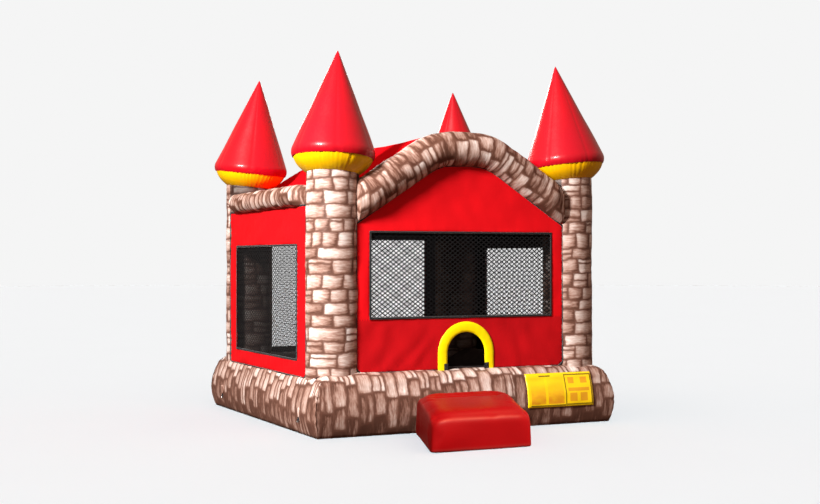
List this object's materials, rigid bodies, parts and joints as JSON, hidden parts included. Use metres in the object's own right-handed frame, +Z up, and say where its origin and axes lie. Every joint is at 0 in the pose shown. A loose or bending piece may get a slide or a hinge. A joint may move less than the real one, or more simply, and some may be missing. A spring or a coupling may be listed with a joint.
{
  "type": "inflatable bounce house",
  "caption": "Castle-shaped inflatable play house on an inflated floor, with round corner towers, gabled arches, netting windows, an entrance step and a blower.",
  "frame": {"origin": "centre of the base footprint on the ground, under the middle of the floor mattress", "axes": "+X to the right seen from the entrance side, +Y to the back, away from the entrance, +Z up"},
  "size_m": [4.2054, 6.797, 4.5528],
  "materials": {
    "stone_vinyl": "satin coated vinyl with a printed stone pattern",
    "floor_vinyl": "matt coated vinyl",
    "inner_vinyl": "uncoated woven backing",
    "yellow_vinyl": "satin coated vinyl",
    "cone_vinyl": "glossy coated vinyl",
    "wall_vinyl": "satin coated vinyl",
    "netting": "knitted safety netting",
    "black_binding": "woven tape",
    "step_vinyl": "glossy coated vinyl",
    "webbing": "woven polyester webbing",
    "zinc_steel": "zinc plated",
    "sleeve_vinyl": "light coated nylon",
    "zip_nylon": "woven nylon tape and coil",
    "zip_metal": "satin",
    "blower_shell": "rotation moulded, fine texture",
    "black_plastic": "moulded, fine texture",
    "motor_alloy": "painted die casting",
    "switch_red": "glossy",
    "foot_rubber": "matt"
  },
  "bodies": {
    "house": {"base_tube_front": "stone_vinyl", "base_tube_back": "stone_vinyl", "base_tube_left": "stone_vinyl", "base_tube_right": "stone_vinyl", "tower_front_left": "stone_vinyl", "tower_front_right": "stone_vinyl", "tower_back_left": "stone_vinyl", "tower_back_right": "stone_vinyl", "front_arch_tube": "stone_vinyl", "back_arch_tube": "stone_vinyl", "left_eave_tube": "stone_vinyl", "right_eave_tube": "stone_vinyl", "floor_mattress": "floor_vinyl", "floor_baffles": "inner_vinyl", "collar_front_left": "yellow_vinyl", "collar_front_right": "yellow_vinyl", "collar_back_left": "yellow_vinyl", "collar_back_right": "yellow_vinyl", "entrance_trim": "yellow_vinyl", "rules_sign": "yellow_vinyl", "cone_front_left": "cone_vinyl", "cone_front_right": "cone_vinyl", "cone_back_left": "cone_vinyl", "cone_back_right": "cone_vinyl", "roof_sheet": "wall_vinyl", "front_wall_panel": "wall_vinyl", "back_wall_panel": "wall_vinyl", "right_wall_panel": "wall_vinyl", "left_wall_panel": "wall_vinyl", "front_window_net": "netting", "right_window_net": "netting", "back_window_net": "netting", "left_window_net": "netting", "window_bindings": "black_binding", "entrance_corner_patches": "black_binding", "entrance_step": "step_vinyl", "anchor_straps": "webbing", "sleeve_strap": "webbing", "cam_buckle_frame": "zinc_steel", "housing_screws": "zinc_steel", "inflation_sleeve": "sleeve_vinyl", "zipper_tape": "zip_nylon", "blower_housing_left": "blower_shell", "blower_housing_right": "blower_shell", "outlet_nozzle": "blower_shell", "carry_handle": "blower_shell", "inlet_grille": "black_plastic", "switch_box": "black_plastic", "power_cord_gland": "black_plastic", "motor_casing": "motor_alloy", "blower_feet": "foot_rubber"},
    "ring_front_left": {"anchor_ring_front_left": "zinc_steel"},
    "ring_front_right": {"anchor_ring_front_right": "zinc_steel"},
    "ring_back_left": {"anchor_ring_back_left": "zinc_steel"},
    "ring_back_right": {"anchor_ring_back_right": "zinc_steel"},
    "buckle_lever": {"cam_buckle_lever": "zinc_steel"},
    "slider": {"zipper_slider": "zip_metal"},
    "pull_tab": {"zipper_pull": "zip_metal"},
    "wheel": {"impeller": "black_plastic"},
    "rocker": {"rocker_switch": "switch_red"}
  },
  "joints": [
    {"name": "anchor_ring_front_left_swing", "type": "hinge", "parent": "house", "child": "ring_front_left", "pos_m": [-2.03842, -1.5, 0.17], "axis": [0, 1, 0], "range_deg": [0, 150]},
    {"name": "anchor_ring_front_right_swing", "type": "hinge", "parent": "house", "child": "ring_front_right", "pos_m": [2.03842, -1.5, 0.17], "axis": [0, -1, 0], "range_deg": [0, 150]},
    {"name": "anchor_ring_back_left_swing", "type": "hinge", "parent": "house", "child": "ring_back_left", "pos_m": [-2.03842, 1.5, 0.17], "axis": [0, 1, 0], "range_deg": [0, 150]},
    {"name": "anchor_ring_back_right_swing", "type": "hinge", "parent": "house", "child": "ring_back_right", "pos_m": [2.03842, 1.5, 0.17], "axis": [0, -1, 0], "range_deg": [0, 150]},
    {"name": "cam_buckle_open", "type": "hinge", "parent": "house", "child": "buckle_lever", "pos_m": [0.883, 2.699, 0.312], "axis": [0, -1, 0], "range_deg": [0, 110]},
    {"name": "zipper_travel", "type": "slide", "parent": "house", "child": "slider", "axis": [0, 0, 1], "range_m": [0, 0.55]},
    {"name": "zipper_pull_swing", "type": "hinge", "parent": "slider", "child": "pull_tab", "pos_m": [-1.63, 1.885, 0.928], "axis": [1, 0, 0], "range_deg": [0, 150]},
    {"name": "impeller_spin", "type": "hinge", "parent": "house", "child": "wheel", "pos_m": [0.9, 3.03, 0.235], "axis": [1, 0, 0], "continuous": true},
    {"name": "rocker_tilt", "type": "hinge", "parent": "house", "child": "rocker", "pos_m": [1.0665, 2.865, 0.315], "axis": [0, -1, 0], "range_deg": [0, 16]}
  ]
}
